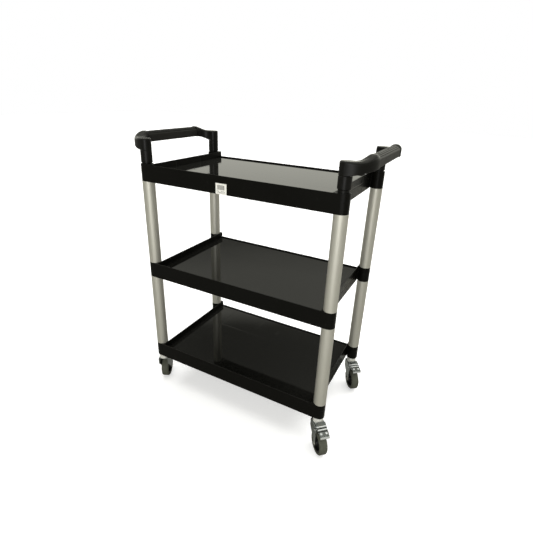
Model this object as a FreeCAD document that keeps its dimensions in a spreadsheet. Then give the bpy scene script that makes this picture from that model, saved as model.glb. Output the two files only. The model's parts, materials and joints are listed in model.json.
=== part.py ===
import FreeCAD, Part
import Sketcher
import math
import os

# A three-tier food service trolley. The row frame has X along the trolley, between its two handles,
# Y across it, with the full-height front walls at -Y and the low rear lips at +Y, and Z up.
# The origin is on the ground, midway between the four legs. Lengths are in millimetres.

Vector = FreeCAD.Vector
Z_AXIS = Vector(0, 0, 1)

DIMENSIONS = {
    # legs and tiers
    "leg_half_length": 328.0,
    "leg_half_width": 181.5,
    "leg_radius": 20.0,
    "leg_wall": 2.0,
    "tier_pitch": 340.0,
    "deck_underside": 128.0,
    # trays
    "tray_height": 54.0,
    "tray_end_half": 308.0,
    "tray_wall": 3.0,
    "tray_depth": 22.0,
    "tray_lip_drop": 17.7,
    "rim_round": 0.8,
    "rib_width": 2.5,
    "rib_bottom": 18.0,
    "cross_rib_inner": 74.0,
    "cross_rib_outer": 222.0,
    "long_rib_offset": 67.0,
    "boss_web_inset": 8.0,
    # plugs and spigots inside the tubes
    "fit_gap": 0.05,
    "plug_reach": 40.0,
    "plug_bore_radius": 14.5,
    "plug_web": 11.0,
    "neck_depth": 35.0,
    "bolt_radius": 3.0,
    "bolt_hole_radius": 3.3,
    # handles
    "post_radius": 18.0,
    "neck_radius": 15.2,
    "shoulder_height": 2.6,
    "post_bottom": 42.6,
    "post_top": 78.6,
    "sleeve_spigot_radius": 12.0,
    "sleeve_spigot_height": 20.0,
    "grip_offset": 50.8,
    "grip_half_width": 16.0,
    "grip_half_length": 126.0,
    "grip_bottom": 58.4,
    "grip_top": 92.2,
    "grip_crown_radius": 17.0,
    "gate_mark_radius": 4.2,
    "elbow_half_width": 17.2,
    "elbow_bottom": 57.4,
    "elbow_top": 93.8,
    "bar_half_width": 8.0,
    "bar_bottom": 65.0,
    "bar_top": 84.0,
    # casters
    "trail": 30.0,
    "tyre_radius": 40.0,
    "tyre_half_width": 14.2,
    "rim_radius": 31.0,
    "axle_radius": 4.0,
    "head_radius": 17.2,
    "head_skirt": 108.2,
    "stem_radius": 5.5,
    "stem_length": 40.0,
    "race_top": 112.5,
    "fork_top": 107.5,
    "fork_plate": 3.0,
    "fork_half_width": 19.0,
    "fork_sheet": 2.5,
    "kingpin_radius": 5.0,
    "ball_radius": 2.45,
    "ball_ring": 11.5,
    "pedal_half_width": 17.0,
    "pedal_pivot_trail": 24.0,
    "pedal_pivot_height": 92.0,
    "pedal_pin_radius": 2.5,
    # price label
    "label_width": 38.0,
    "label_height": 32.0,
    "label_thickness": 0.3,
    "label_left": -48.0,
}

CORNERS = {"front_left": (-1, -1), "front_right": (1, -1), "rear_left": (-1, 1), "rear_right": (1, 1)}
# The way each caster trails at rest, in degrees from +X.
CASTER_YAW = {"front_left": 117.0, "front_right": -46.5, "rear_left": 131.5, "rear_right": -51.5}
BRAKED = ("front_right", "rear_right")
# How much of each handle sleeve's narrow neck shows above its corner boss, in mm.
NECK_SHOWING = {"front_left": 2.2, "front_right": 7.4, "rear_left": 1.6, "rear_right": 2.4}
# How far each brake pedal's toe is lifted at rest, in degrees.
PEDAL_LIFT = {"front_right": 0.0, "rear_right": 6.0}
BALLS_PER_RACE = 12

doc = FreeCAD.newDocument("FoodServiceTrolley")
sheet = doc.addObject("Spreadsheet::Sheet", "Dims")
for row, (alias, value) in enumerate(DIMENSIONS.items(), start=1):
    sheet.set(f"A{row}", alias)
    sheet.set(f"B{row}", str(value))
    sheet.setAlias(f"B{row}", alias)
doc.recompute()

parts = []


def dim(alias):
    """Read one driving dimension from the sheet."""
    return float(sheet.get(alias))


def keep(shape_object, label):
    """Name a finished sub-part; its label is its file's name."""
    shape_object.Label = label
    parts.append(shape_object)
    return shape_object


def place(shape_object, x="0", y="0", z="0", yaw=0.0):
    """Bind a sub-part's position to the sheet and turn it about the vertical."""
    shape_object.Placement = FreeCAD.Placement(Vector(0, 0, 0), FreeCAD.Rotation(Z_AXIS, yaw))
    for axis, expression in (("x", x), ("y", y), ("z", z)):
        shape_object.setExpression(f"Placement.Base.{axis}", expression)


def new_body(name):
    return doc.addObject("PartDesign::Body", name)


def new_sketch(body, plane, name, lift="0"):
    """Add a sketch on one of the body's own origin planes, lifted along the plane's normal."""
    sketch = body.newObject("Sketcher::SketchObject", name)
    support = [item for item in body.Origin.OriginFeatures if item.Role == plane][0]
    sketch.AttachmentSupport = [(support, "")]
    sketch.MapMode = "FlatFace"
    if lift != "0":
        sketch.setExpression("AttachmentOffset.Base.z", lift)
    return sketch


def hold_point(sketch, edge, end, u, v):
    """Constrain one point of a sketch edge to sheet expressions for its two coordinates."""
    for direction, axis_line, expression in (("DistanceX", -2, u), ("DistanceY", -1, v)):
        value = float(sketch.evalExpression(expression))
        if abs(value) < 1e-9:
            sketch.addConstraint(Sketcher.Constraint("PointOnObject", edge, end, axis_line))
        else:
            number = sketch.addConstraint(Sketcher.Constraint(direction, -1, 1, edge, end, value))
            sketch.setExpression(f"Constraints[{number}]", expression)


def draw_outline(sketch, corners):
    """Draw a closed outline of straight edges through corners given as pairs of expressions."""
    places = [Vector(float(sketch.evalExpression(u)), float(sketch.evalExpression(v)), 0) for u, v in corners]
    first = sketch.GeometryCount
    count = len(places)
    for index, start in enumerate(places):
        sketch.addGeometry(Part.LineSegment(start, places[(index + 1) % count]), False)
    for index in range(count):
        following = first + (index + 1) % count
        sketch.addConstraint(Sketcher.Constraint("Coincident", first + index, 2, following, 1))
    for index, (u, v) in enumerate(corners):
        hold_point(sketch, first + index, 1, u, v)


def draw_rectangle(sketch, u0, v0, u1, v1):
    draw_outline(sketch, [(u0, v0), (u1, v0), (u1, v1), (u0, v1)])


def draw_circle(sketch, u, v, radius):
    """Draw a circle whose centre and radius follow the sheet."""
    centre = Vector(float(sketch.evalExpression(u)), float(sketch.evalExpression(v)), 0)
    size = float(sketch.evalExpression(radius))
    edge = sketch.addGeometry(Part.Circle(centre, Z_AXIS, size), False)
    number = sketch.addConstraint(Sketcher.Constraint("Radius", edge, size))
    sketch.setExpression(f"Constraints[{number}]", radius)
    hold_point(sketch, edge, 3, u, v)


def pad(body, sketch, length, midplane=False, reverse=False):
    feature = body.newObject("PartDesign::Pad", sketch.Name + "Pad")
    feature.Profile = sketch
    feature.Midplane = midplane
    feature.Reversed = reverse
    feature.setExpression("Length", length)
    return feature


def pocket(body, sketch, length, midplane=False, reverse=False):
    feature = body.newObject("PartDesign::Pocket", sketch.Name + "Pocket")
    feature.Profile = sketch
    feature.Midplane = midplane
    feature.Reversed = reverse
    feature.setExpression("Length", length)
    return feature


def revolve(name, corners, plane="XZ_Plane", axis="V_Axis"):
    """Make a body by turning an outline of expressions right round one axis of its sketch."""
    body = new_body(name)
    sketch = new_sketch(body, plane, name + "Profile")
    draw_outline(sketch, corners)
    feature = body.newObject("PartDesign::Revolution", name + "Turned")
    feature.Profile = sketch
    feature.ReferenceAxis = (sketch, [axis])
    feature.Angle = 360.0
    return body


def round_edges(body, base, chosen, radius):
    """Fillet the edges of a body's tip that the test picks out."""
    doc.recompute()
    names = [f"Edge{number}" for number, edge in enumerate(base.Shape.Edges, start=1) if chosen(edge)]
    feature = body.newObject("PartDesign::Fillet", base.Name + "Round")
    feature.Base = (base, names)
    feature.setExpression("Radius", radius)
    doc.recompute()
    return feature


def lies_at(edge, height):
    """True where an edge lies flat at one height."""
    box = edge.BoundBox
    return abs(box.ZMin - height) < 1e-4 and abs(box.ZMax - height) < 1e-4


def corner_expressions(corner):
    """Give a leg's X and Y as sheet expressions."""
    side, depth = CORNERS[corner]
    x = "Dims.leg_half_length" if side > 0 else "-Dims.leg_half_length"
    y = "Dims.leg_half_width" if depth > 0 else "-Dims.leg_half_width"
    return x, y


# Trays ---------------------------------------------------------------------------------------

def make_tray(label, lift):
    """One moulded tray: a ribbed deck, three full walls, a low rear lip and four corner bosses."""
    body = new_body(label.title().replace("_", ""))
    name = body.Name
    outer = "(Dims.leg_half_width + Dims.leg_radius)"
    inner_x = "(Dims.tray_end_half - Dims.tray_wall)"
    inner_y = "(Dims.leg_half_width + Dims.leg_radius - Dims.tray_wall)"

    block = new_sketch(body, "XY_Plane", name + "Block")
    draw_rectangle(block, "-Dims.tray_end_half", "-" + outer, "Dims.tray_end_half", outer)
    pad(body, block, "Dims.tray_height")

    for depth, word in ((-1, "Front"), (1, "Rear")):
        sign = "-" if depth < 0 else ""
        web = new_sketch(body, "XY_Plane", name + "Web" + word)
        near = f"{sign}(Dims.leg_half_width - Dims.boss_web_inset)"
        draw_rectangle(web, "-Dims.leg_half_length", near, "Dims.leg_half_length", sign + outer)
        pad(body, web, "Dims.tray_height")

    bosses = new_sketch(body, "XY_Plane", name + "Bosses")
    for corner in CORNERS:
        x, y = corner_expressions(corner)
        draw_circle(bosses, x, y, "Dims.leg_radius")
    pad(body, bosses, "Dims.tray_height")

    basin = new_sketch(body, "XY_Plane", name + "Basin", "Dims.tray_height")
    draw_rectangle(basin, "-" + inner_x, "-" + inner_y, inner_x, inner_y)
    pocket(body, basin, "Dims.tray_depth")

    under = new_sketch(body, "XY_Plane", name + "Under")
    draw_rectangle(under, "-" + inner_x, "-" + inner_y, inner_x, inner_y)
    pocket(body, under, "Dims.tray_height - Dims.tray_depth - Dims.tray_wall", reverse=True)

    rear = new_sketch(body, "XY_Plane", name + "RearLip", "Dims.tray_height")
    draw_rectangle(rear, "-" + inner_x, inner_y + " - 1", inner_x, outer + " + 1")
    pocket(body, rear, "Dims.tray_lip_drop")

    bores = new_sketch(body, "XY_Plane", name + "Bores", "Dims.tray_height")
    for corner in CORNERS:
        x, y = corner_expressions(corner)
        draw_circle(bores, x, y, "Dims.leg_radius - Dims.leg_wall")
    tip = pocket(body, bores, "Dims.tray_height + 1")

    rib_length = "Dims.tray_height - Dims.tray_depth - Dims.tray_wall - Dims.rib_bottom"
    half = "Dims.rib_width / 2"
    for sign in ("-", ""):
        word = "Minus" if sign else "Plus"
        for which in ("inner", "outer"):
            rib = new_sketch(body, "XY_Plane", name + "CrossRib" + which.title() + word, "Dims.rib_bottom")
            middle = f"{sign}Dims.cross_rib_{which}"
            draw_rectangle(rib, f"{middle} - {half}", "-" + inner_y, f"{middle} + {half}", inner_y)
            tip = pad(body, rib, rib_length)
        rib = new_sketch(body, "XY_Plane", name + "LongRib" + word, "Dims.rib_bottom")
        middle = f"{sign}Dims.long_rib_offset"
        draw_rectangle(rib, "-" + inner_x, f"{middle} - {half}", inner_x, f"{middle} + {half}")
        tip = pad(body, rib, rib_length)

    straight_rim = 100.0
    height = dim("tray_height")
    lip = height - dim("tray_lip_drop")
    wall_rim = height - dim("tray_depth")

    def on_rim(edge):
        long_enough = edge.Length > straight_rim
        return long_enough and (lies_at(edge, height) or lies_at(edge, lip) and lip > wall_rim)

    round_edges(body, tip, on_rim, "Dims.rim_round")
    place(body, z=f"Dims.deck_underside + {lift} * Dims.tier_pitch")
    return keep(body, label)


# Legs and what joins them --------------------------------------------------------------------

def make_leg_tube(label, corner, lift):
    """An aluminium tube that stands on one tray's boss and carries the next tray."""
    body = new_body(label.title().replace("_", ""))
    ring = new_sketch(body, "XY_Plane", body.Name + "Ring")
    draw_circle(ring, "0", "0", "Dims.leg_radius")
    draw_circle(ring, "0", "0", "Dims.leg_radius - Dims.leg_wall")
    pad(body, ring, "Dims.tier_pitch - Dims.tray_height")
    x, y = corner_expressions(corner)
    place(body, x, y, f"Dims.deck_underside + Dims.tray_height + {lift} * Dims.tier_pitch")
    return keep(body, label)


PLUG = "(Dims.leg_radius - Dims.leg_wall - Dims.fit_gap)"


def make_top_plug(corner):
    """The plug from the upper tube through the top boss; its head holds the handle's neck."""
    neck_hole = "(Dims.neck_radius + Dims.fit_gap)"
    web_top = "-(Dims.neck_depth + 0.5)"
    web_bottom = "-(Dims.neck_depth + Dims.plug_web)"
    bottom = "-(Dims.tray_height + Dims.plug_reach)"
    outline = [
        (PLUG, bottom), (PLUG, "0"), (neck_hole, "0"), (neck_hole, web_top),
        ("Dims.bolt_hole_radius", web_top), ("Dims.bolt_hole_radius", web_bottom),
        ("Dims.plug_bore_radius", web_bottom), ("Dims.plug_bore_radius", bottom),
    ]
    label = f"top_plug_{corner}"
    body = revolve(label.title().replace("_", ""), outline)
    x, y = corner_expressions(corner)
    place(body, x, y, "Dims.deck_underside + Dims.tray_height + 2 * Dims.tier_pitch")
    return keep(body, label)


def make_middle_spigot(corner):
    """The hollow spigot that passes through the middle tray's boss into both tubes."""
    bottom = "-Dims.plug_reach"
    top = "(Dims.tray_height + Dims.plug_reach)"
    bore = "Dims.plug_bore_radius"
    outline = [(bore, bottom), (PLUG, bottom), (PLUG, top), (bore, top)]
    label = f"middle_spigot_{corner}"
    body = revolve(label.title().replace("_", ""), outline)
    x, y = corner_expressions(corner)
    place(body, x, y, "Dims.deck_underside + Dims.tier_pitch")
    return keep(body, label)


def make_bottom_plug(corner):
    """The plug from the lower tube through the bottom boss, with the caster stem's socket."""
    socket = "(Dims.stem_radius + Dims.fit_gap)"
    top = "(Dims.tray_height + Dims.plug_reach)"
    socket_top = "(Dims.stem_length + 2)"
    floor = "(Dims.stem_length + 6)"
    outline = [
        (socket, "0"), (PLUG, "0"), (PLUG, top), ("Dims.plug_bore_radius", top),
        ("Dims.plug_bore_radius", floor), ("0", floor), ("0", socket_top), (socket, socket_top),
    ]
    label = f"bottom_plug_{corner}"
    body = revolve(label.title().replace("_", ""), outline)
    x, y = corner_expressions(corner)
    place(body, x, y, "Dims.deck_underside")
    return keep(body, label)


# Handles -------------------------------------------------------------------------------------

def arc(start, through, end):
    return Part.Arc(start, through, end).toShape()


def line(start, end):
    return Part.makeLine(start, end)


def arm_section(centre, angle, half_width, low, high, low_round, high_round):
    """One upright cross-section of an arm: flat sides and rounded corners, as a closed wire."""
    sideways = Vector(math.sin(angle), -math.cos(angle), 0)

    def at(across, height):
        return Vector(centre.x, centre.y, 0) + sideways * across + Z_AXIS * height

    def corner(side, height, radius, up):
        """The rounded corner on one side, from its end on the side wall to its end on the flat."""
        bend = radius * (1 - math.cos(math.pi / 4))
        wall = at(side * half_width, height - up * radius)
        middle = at(side * (half_width - bend), height - up * bend)
        flat = at(side * (half_width - radius), height)
        return wall, middle, flat

    outer_low = corner(1, low, low_round, -1)
    outer_high = corner(1, high, high_round, 1)
    inner_high = corner(-1, high, high_round, 1)
    inner_low = corner(-1, low, low_round, -1)
    return Part.Wire([
        line(inner_low[2], outer_low[2]), arc(outer_low[2], outer_low[1], outer_low[0]),
        line(outer_low[0], outer_high[0]), arc(outer_high[0], outer_high[1], outer_high[2]),
        line(outer_high[2], inner_high[2]), arc(inner_high[2], inner_high[1], inner_high[0]),
        line(inner_high[0], inner_low[0]), arc(inner_low[0], inner_low[1], inner_low[2]),
    ])


def between(start, end, share):
    return start + (end - start) * share


def arm_shape():
    """One arm at the handle's -Y end: a round post whose body sweeps outward and up to the grip."""
    post_y = -dim("leg_half_width")
    ring_y = -dim("grip_half_length") - 1.0
    bend_radius = dim("grip_offset")
    low = dim("post_bottom")
    high = dim("post_top")
    low_round = (1.0, 3.0)
    high_round = (5.0, 15.5)
    level_share = 0.3
    station_angles = (-90.0, -76.0, -62.0, -48.0, -34.0, -20.0, -8.0, 0.0)
    sections = []
    for degrees in station_angles:
        angle = math.radians(degrees)
        centre = Vector(bend_radius * math.cos(angle), post_y + bend_radius * (1 + math.sin(angle)), 0)
        along = 1 + degrees / 90.0
        share = max(0.0, (along - level_share) / (1 - level_share))
        rise = share * share * (3 - 2 * share)
        lift = math.sin(0.5 * math.pi * along) ** 1.5
        sections.append(arm_section(
            centre, angle + math.pi / 2, between(dim("post_radius"), dim("elbow_half_width"), along),
            between(low, dim("elbow_bottom"), lift), between(high, dim("elbow_top"), rise),
            between(low_round[0], low_round[1], along), between(high_round[0], high_round[1], along)))
    sweep = Part.makeLoft(sections, True, False)
    collar_face = Part.Face(sections[-1])
    collar_start = post_y + bend_radius
    collar = collar_face.extrude(Vector(0, ring_y - collar_start, 0))
    half_section = Part.Face(sections[0]).common(
        Part.makeBox(1.0, 50.0, 200.0, Vector(-0.5, post_y, 0)))
    post = half_section.revolve(Vector(0, post_y, 0), Z_AXIS, 180.0)
    arm = sweep.fuse(collar).fuse(post).removeSplitter()
    hole_top = low + dim("sleeve_spigot_height") + 0.5
    hole = Part.makeCylinder(dim("sleeve_spigot_radius") + dim("fit_gap"), hole_top - low, Vector(0, post_y, low))
    thread_top = high - 6.0
    thread = Part.makeCylinder(dim("bolt_radius") + dim("fit_gap"), thread_top - low, Vector(0, post_y, low))
    return arm.cut(hole).cut(thread)


def make_handles():
    """Two U-shaped handles: a pair of arms joined by the bar inside the grip."""
    arm = doc.addObject("Part::Feature", "HandleArm")
    arm.Shape = arm_shape()
    other = doc.addObject("Part::Mirroring", "HandleArmOther")
    other.Source = arm
    other.Normal = Vector(0, 1, 0)
    bar = doc.addObject("Part::Box", "HandleBar")
    bar.setExpression("Length", "2 * Dims.bar_half_width")
    bar.setExpression("Width", "2 * (Dims.grip_half_length + 2)")
    bar.setExpression("Height", "Dims.bar_top - Dims.bar_bottom")
    bar.setExpression("Placement.Base.x", "Dims.grip_offset - Dims.bar_half_width")
    bar.setExpression("Placement.Base.y", "-(Dims.grip_half_length + 2)")
    bar.setExpression("Placement.Base.z", "Dims.bar_bottom")
    rim = "Dims.deck_underside + Dims.tray_height + 2 * Dims.tier_pitch"
    for side, yaw in (("right", 0.0), ("left", 180.0)):
        handle = doc.addObject("Part::MultiFuse", side.title() + "Handle")
        handle.Shapes = [arm, other, bar]
        sign = "" if side == "right" else "-"
        place(handle, f"{sign}Dims.leg_half_length", "0", rim, yaw)
        keep(handle, f"{side}_handle")


def make_grip(side):
    """The ribbed grip sleeve: flat sides, a crowned top with lengthwise ribs, and a hole for the bar."""
    body = new_body(side.title() + "Grip")
    section = new_sketch(body, "XZ_Plane", body.Name + "Section")
    half = "Dims.grip_half_width"
    crown_centre = "(Dims.grip_top - Dims.grip_crown_radius)"
    shoulder = f"({crown_centre} + sqrt(Dims.grip_crown_radius ^ 2 - Dims.grip_half_width ^ 2))"
    left = float(section.evalExpression("Dims.grip_offset - Dims.grip_half_width"))
    right = float(section.evalExpression("Dims.grip_offset + Dims.grip_half_width"))
    low = dim("grip_bottom")
    centre_x = dim("grip_offset")
    centre_z = float(section.evalExpression(crown_centre))
    shoulder_z = float(section.evalExpression(shoulder))
    start_angle = math.acos(dim("grip_half_width") / dim("grip_crown_radius"))
    section.addGeometry(Part.LineSegment(Vector(left, shoulder_z, 0), Vector(left, low, 0)), False)
    section.addGeometry(Part.LineSegment(Vector(left, low, 0), Vector(right, low, 0)), False)
    section.addGeometry(Part.LineSegment(Vector(right, low, 0), Vector(right, shoulder_z, 0)), False)
    crown = Part.Circle(Vector(centre_x, centre_z, 0), Z_AXIS, dim("grip_crown_radius"))
    section.addGeometry(Part.ArcOfCircle(crown, start_angle, math.pi - start_angle), False)
    for first, second in ((0, 1), (1, 2)):
        section.addConstraint(Sketcher.Constraint("Coincident", first, 2, second, 1))
    section.addConstraint(Sketcher.Constraint("Coincident", 2, 2, 3, 1))
    section.addConstraint(Sketcher.Constraint("Coincident", 3, 2, 0, 1))
    hold_point(section, 0, 1, f"Dims.grip_offset - {half}", shoulder)
    hold_point(section, 0, 2, f"Dims.grip_offset - {half}", "Dims.grip_bottom")
    hold_point(section, 2, 1, f"Dims.grip_offset + {half}", "Dims.grip_bottom")
    hold_point(section, 2, 2, f"Dims.grip_offset + {half}", shoulder)
    number = section.addConstraint(Sketcher.Constraint("DistanceY", -1, 1, 3, 3, centre_z))
    section.setExpression(f"Constraints[{number}]", crown_centre)
    base = pad(body, section, "2 * Dims.grip_half_length", midplane=True)

    def low_side(edge):
        along = edge.BoundBox.YLength > 2 * dim("grip_half_length") - 1
        return along and abs(edge.BoundBox.ZMin - low) < 1e-4

    round_edges(body, base, low_side, "3")
    hollow = new_sketch(body, "XZ_Plane", body.Name + "Hollow")
    draw_rectangle(hollow, "Dims.grip_offset - Dims.bar_half_width - Dims.fit_gap", "Dims.bar_bottom - Dims.fit_gap",
                   "Dims.grip_offset + Dims.bar_half_width + Dims.fit_gap", "Dims.bar_top + Dims.fit_gap")
    pocket(body, hollow, "2 * Dims.grip_half_length + 2", midplane=True)
    grooves = new_sketch(body, "XZ_Plane", body.Name + "Grooves")
    groove_count = 7
    groove_step = 17.0
    for index in range(groove_count):
        angle = (index - (groove_count - 1) / 2) * groove_step
        across = f"Dims.grip_offset + Dims.grip_crown_radius * sin({angle})"
        upward = f"{crown_centre} + Dims.grip_crown_radius * cos({angle})"
        draw_circle(grooves, across, upward, "1.0")
    pocket(body, grooves, "2 * Dims.grip_half_length - 6", midplane=True)
    gate_mark = new_sketch(body, "XY_Plane", body.Name + "GateMark", "Dims.grip_top")
    draw_circle(gate_mark, "Dims.grip_offset", "18", "Dims.gate_mark_radius")
    pocket(body, gate_mark, "1.6")
    rim = "Dims.deck_underside + Dims.tray_height + 2 * Dims.tier_pitch"
    if side == "right":
        place(body, "Dims.leg_half_length", "0", rim)
    else:
        place(body, "-Dims.leg_half_length", "0", rim, 180.0)
    return keep(body, f"{side}_grip")


def make_post_sleeve(corner):
    """The sleeve under a handle post, with the narrow neck that enters the corner boss."""
    top = "(Dims.post_bottom - 0.2)"
    neck_height = NECK_SHOWING[corner]
    shoulder = f"({neck_height} + Dims.shoulder_height)"
    spigot_top = "(Dims.post_bottom + Dims.sleeve_spigot_height)"
    radius = "Dims.post_radius"
    bore = "Dims.bolt_hole_radius"
    outline = [
        (bore, "-Dims.neck_depth"), ("Dims.neck_radius", "-Dims.neck_depth"),
        ("Dims.neck_radius", str(neck_height)), (radius, shoulder), (radius, top + " - 0.6"),
        (radius + " - 0.6", top), ("Dims.sleeve_spigot_radius", top),
        ("Dims.sleeve_spigot_radius", spigot_top), (bore, spigot_top),
    ]
    label = f"post_sleeve_{corner}"
    body = revolve(label.title().replace("_", ""), outline)
    x, y = corner_expressions(corner)
    place(body, x, y, "Dims.deck_underside + Dims.tray_height + 2 * Dims.tier_pitch")
    return keep(body, label)


def make_handle_bolts():
    """Four bolts that draw the handles down: head under the plug's web, shank up into the post."""
    web_bottom = -(dim("neck_depth") + dim("plug_web"))
    rim = dim("deck_underside") + dim("tray_height") + 2 * dim("tier_pitch")
    head_height = 4.0
    head_radius = 5.0
    tip = dim("post_top") - 7.0
    solids = []
    for side, depth in CORNERS.values():
        foot = Vector(side * dim("leg_half_length"), depth * dim("leg_half_width"), rim + web_bottom - head_height)
        head = Part.makeCylinder(head_radius, head_height, foot)
        shank = Part.makeCylinder(dim("bolt_radius"), tip - web_bottom, foot + Z_AXIS * head_height)
        solids.append(head.fuse(shank).removeSplitter())
    bolts = doc.addObject("Part::Feature", "HandleBolts")
    bolts.Shape = Part.makeCompound(solids)
    return keep(bolts, "handle_bolts")


def make_price_label():
    """A thin blank label stuck low on the top tray's front wall."""
    label = doc.addObject("Part::Box", "PriceLabel")
    label.setExpression("Length", "Dims.label_width")
    label.setExpression("Width", "Dims.label_thickness")
    label.setExpression("Height", "Dims.label_height")
    front = "-(Dims.leg_half_width + Dims.leg_radius + Dims.label_thickness)"
    place(label, "Dims.label_left", front, "Dims.deck_underside + 2 * Dims.tier_pitch + 0.3")
    return keep(label, "price_label")


# Casters: each is drawn with its swivel axis on Z, the ground at Z = 0 and its wheel trailing to +X

def place_caster(shape_object, corner):
    x, y = corner_expressions(corner)
    place(shape_object, x, y, "0", CASTER_YAW[corner])


def place_pedal(shape_object, corner):
    """Put a pedal part on its caster, lifted about the pivot pin."""
    side, depth = CORNERS[corner]
    leg = Vector(side * dim("leg_half_length"), depth * dim("leg_half_width"), 0)
    turned = FreeCAD.Placement(leg, FreeCAD.Rotation(Z_AXIS, CASTER_YAW[corner]))
    pivot = Vector(dim("pedal_pivot_trail"), 0, dim("pedal_pivot_height"))
    lift = FreeCAD.Rotation(Vector(0, 1, 0), -PEDAL_LIFT[corner])
    shape_object.Placement = turned.multiply(FreeCAD.Placement(Vector(0, 0, 0), lift, pivot))


def make_caster_head(corner):
    """The fixed head: a plated cap with the stem above it and the riveted kingpin below."""
    skirt = 1.6
    top = "Dims.deck_underside"
    groove_top = "(Dims.deck_underside - 8.5)"
    plate_bottom = "(Dims.fork_top - Dims.fork_plate - 0.1)"
    outline = [
        ("0", "Dims.deck_underside + Dims.stem_length"), ("Dims.stem_radius", "Dims.deck_underside + Dims.stem_length"),
        ("Dims.stem_radius", top), ("Dims.head_radius - 1.5", top), ("Dims.head_radius", top + " - 1.5"),
        ("Dims.head_radius", groove_top), ("Dims.head_radius - 1.2", groove_top + " - 0.8"),
        ("Dims.head_radius - 1.2", groove_top + " - 2.2"), ("Dims.head_radius - 0.3", groove_top + " - 3"),
        ("Dims.head_radius - 0.3", "Dims.head_skirt"), (f"Dims.head_radius - {skirt}", "Dims.head_skirt"),
        (f"Dims.head_radius - {skirt}", "Dims.race_top"), ("Dims.kingpin_radius", "Dims.race_top"),
        ("Dims.kingpin_radius", plate_bottom), ("Dims.kingpin_radius + 3.5", plate_bottom),
        ("Dims.kingpin_radius + 2.5", plate_bottom + " - 2.9"), ("0", plate_bottom + " - 2.9"),
    ]
    label = f"caster_head_{corner}"
    body = revolve(label.title().replace("_", ""), outline)
    place_caster(body, corner)
    return keep(body, label)


def make_swivel_balls():
    """The ball races between the heads and the forks, one group of separate balls."""
    height = 0.5 * (dim("race_top") + dim("fork_top"))
    solids = []
    for side, depth in CORNERS.values():
        centre = Vector(side * dim("leg_half_length"), depth * dim("leg_half_width"), height)
        for index in range(BALLS_PER_RACE):
            angle = 2 * math.pi * index / BALLS_PER_RACE
            spoke = Vector(math.cos(angle), math.sin(angle), 0) * dim("ball_ring")
            solids.append(Part.makeSphere(dim("ball_radius"), centre + spoke))
    balls = doc.addObject("Part::Feature", "SwivelBalls")
    balls.Shape = Part.makeCompound(solids)
    return keep(balls, "swivel_balls")


def fork_side():
    """The fork's side outline, in its own X and Z, as a wire with a round axle end."""
    top = dim("fork_top")
    axle = Vector(dim("trail"), 0, dim("tyre_radius"))
    ear = 8.0
    front_top = Vector(-14.0, 0, top)
    rear_top = Vector(21.0, 0, top)
    rear_mid = Vector(dim("pedal_pivot_trail") + 8.0, 0, dim("pedal_pivot_height") + 3.0)
    rear_low = Vector(dim("pedal_pivot_trail") + 9.0, 0, dim("pedal_pivot_height") - 9.0)
    front_low = Vector(-13.0, 0, 80.0)
    rear_ear = axle + Vector(ear, 0, 0)
    front_ear = axle + Vector(-ear, 0, 3.0)
    bottom = axle + Vector(0, 0, -ear)
    return Part.Wire([
        line(front_top, rear_top), line(rear_top, rear_mid), line(rear_mid, rear_low), line(rear_low, rear_ear),
        arc(rear_ear, bottom, front_ear), line(front_ear, front_low), line(front_low, front_top),
    ])


def fork_shape(braked):
    """A pressed swivel fork: a top plate bent down into two legs, with its holes."""
    half = dim("fork_half_width")
    inner = half - dim("fork_sheet")
    plate_bottom = dim("fork_top") - dim("fork_plate")
    blank = Part.Face(fork_side()).extrude(Vector(0, 2 * half, 0))
    blank.translate(Vector(0, -half, 0))
    bends = [edge for edge in blank.Edges if lies_at(edge, dim("fork_top")) and edge.BoundBox.YLength < 1e-4]
    blank = blank.makeFillet(4.0, bends)
    gap = Part.makeBox(200.0, 2 * inner, plate_bottom, Vector(-100.0, -inner, 0))
    inside = [edge for edge in gap.Edges if lies_at(edge, plate_bottom) and edge.BoundBox.YLength < 1e-4]
    fork = blank.cut(gap.makeFillet(1.5, inside))
    across = Vector(0, 1, 0)
    hole_length = 2 * half + 2
    kingpin_hole = Part.makeCylinder(dim("kingpin_radius") + 0.08, 20.0, Vector(0, 0, plate_bottom - 8.0))
    axle_start = Vector(dim("trail"), -half - 1, dim("tyre_radius"))
    fork = fork.cut(kingpin_hole)
    fork = fork.cut(Part.makeCylinder(dim("axle_radius") + dim("fit_gap"), hole_length, axle_start, across))
    if braked:
        notch_start = 16.0
        notch_half = inner - 2.4
        notch = Part.makeBox(20.0, 2 * notch_half, 20.0, Vector(notch_start, -notch_half, plate_bottom - 1))
        fork = fork.cut(notch)
        pin_start = Vector(dim("pedal_pivot_trail"), -half - 1, dim("pedal_pivot_height"))
        fork = fork.cut(Part.makeCylinder(dim("pedal_pin_radius") + dim("fit_gap"), hole_length, pin_start, across))
    return fork.removeSplitter()


def make_fork(corner):
    fork = doc.addObject("Part::Feature", "Fork" + corner.title().replace("_", ""))
    fork.Shape = fork_shape(corner in BRAKED)
    place_caster(fork, corner)
    return keep(fork, f"caster_fork_{corner}")


def hex_prism(across_flats, thickness, start, direction):
    """A hexagonal head or nut that stands on start and grows along Y."""
    radius = across_flats / math.sqrt(3.0)
    corners = []
    for index in range(6):
        angle = math.radians(60.0 * index)
        corners.append(start + Vector(radius * math.cos(angle), 0, radius * math.sin(angle)))
    face = Part.Face(Part.makePolygon(corners + corners[:1]))
    return face.extrude(Vector(0, direction * thickness, 0))


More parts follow.
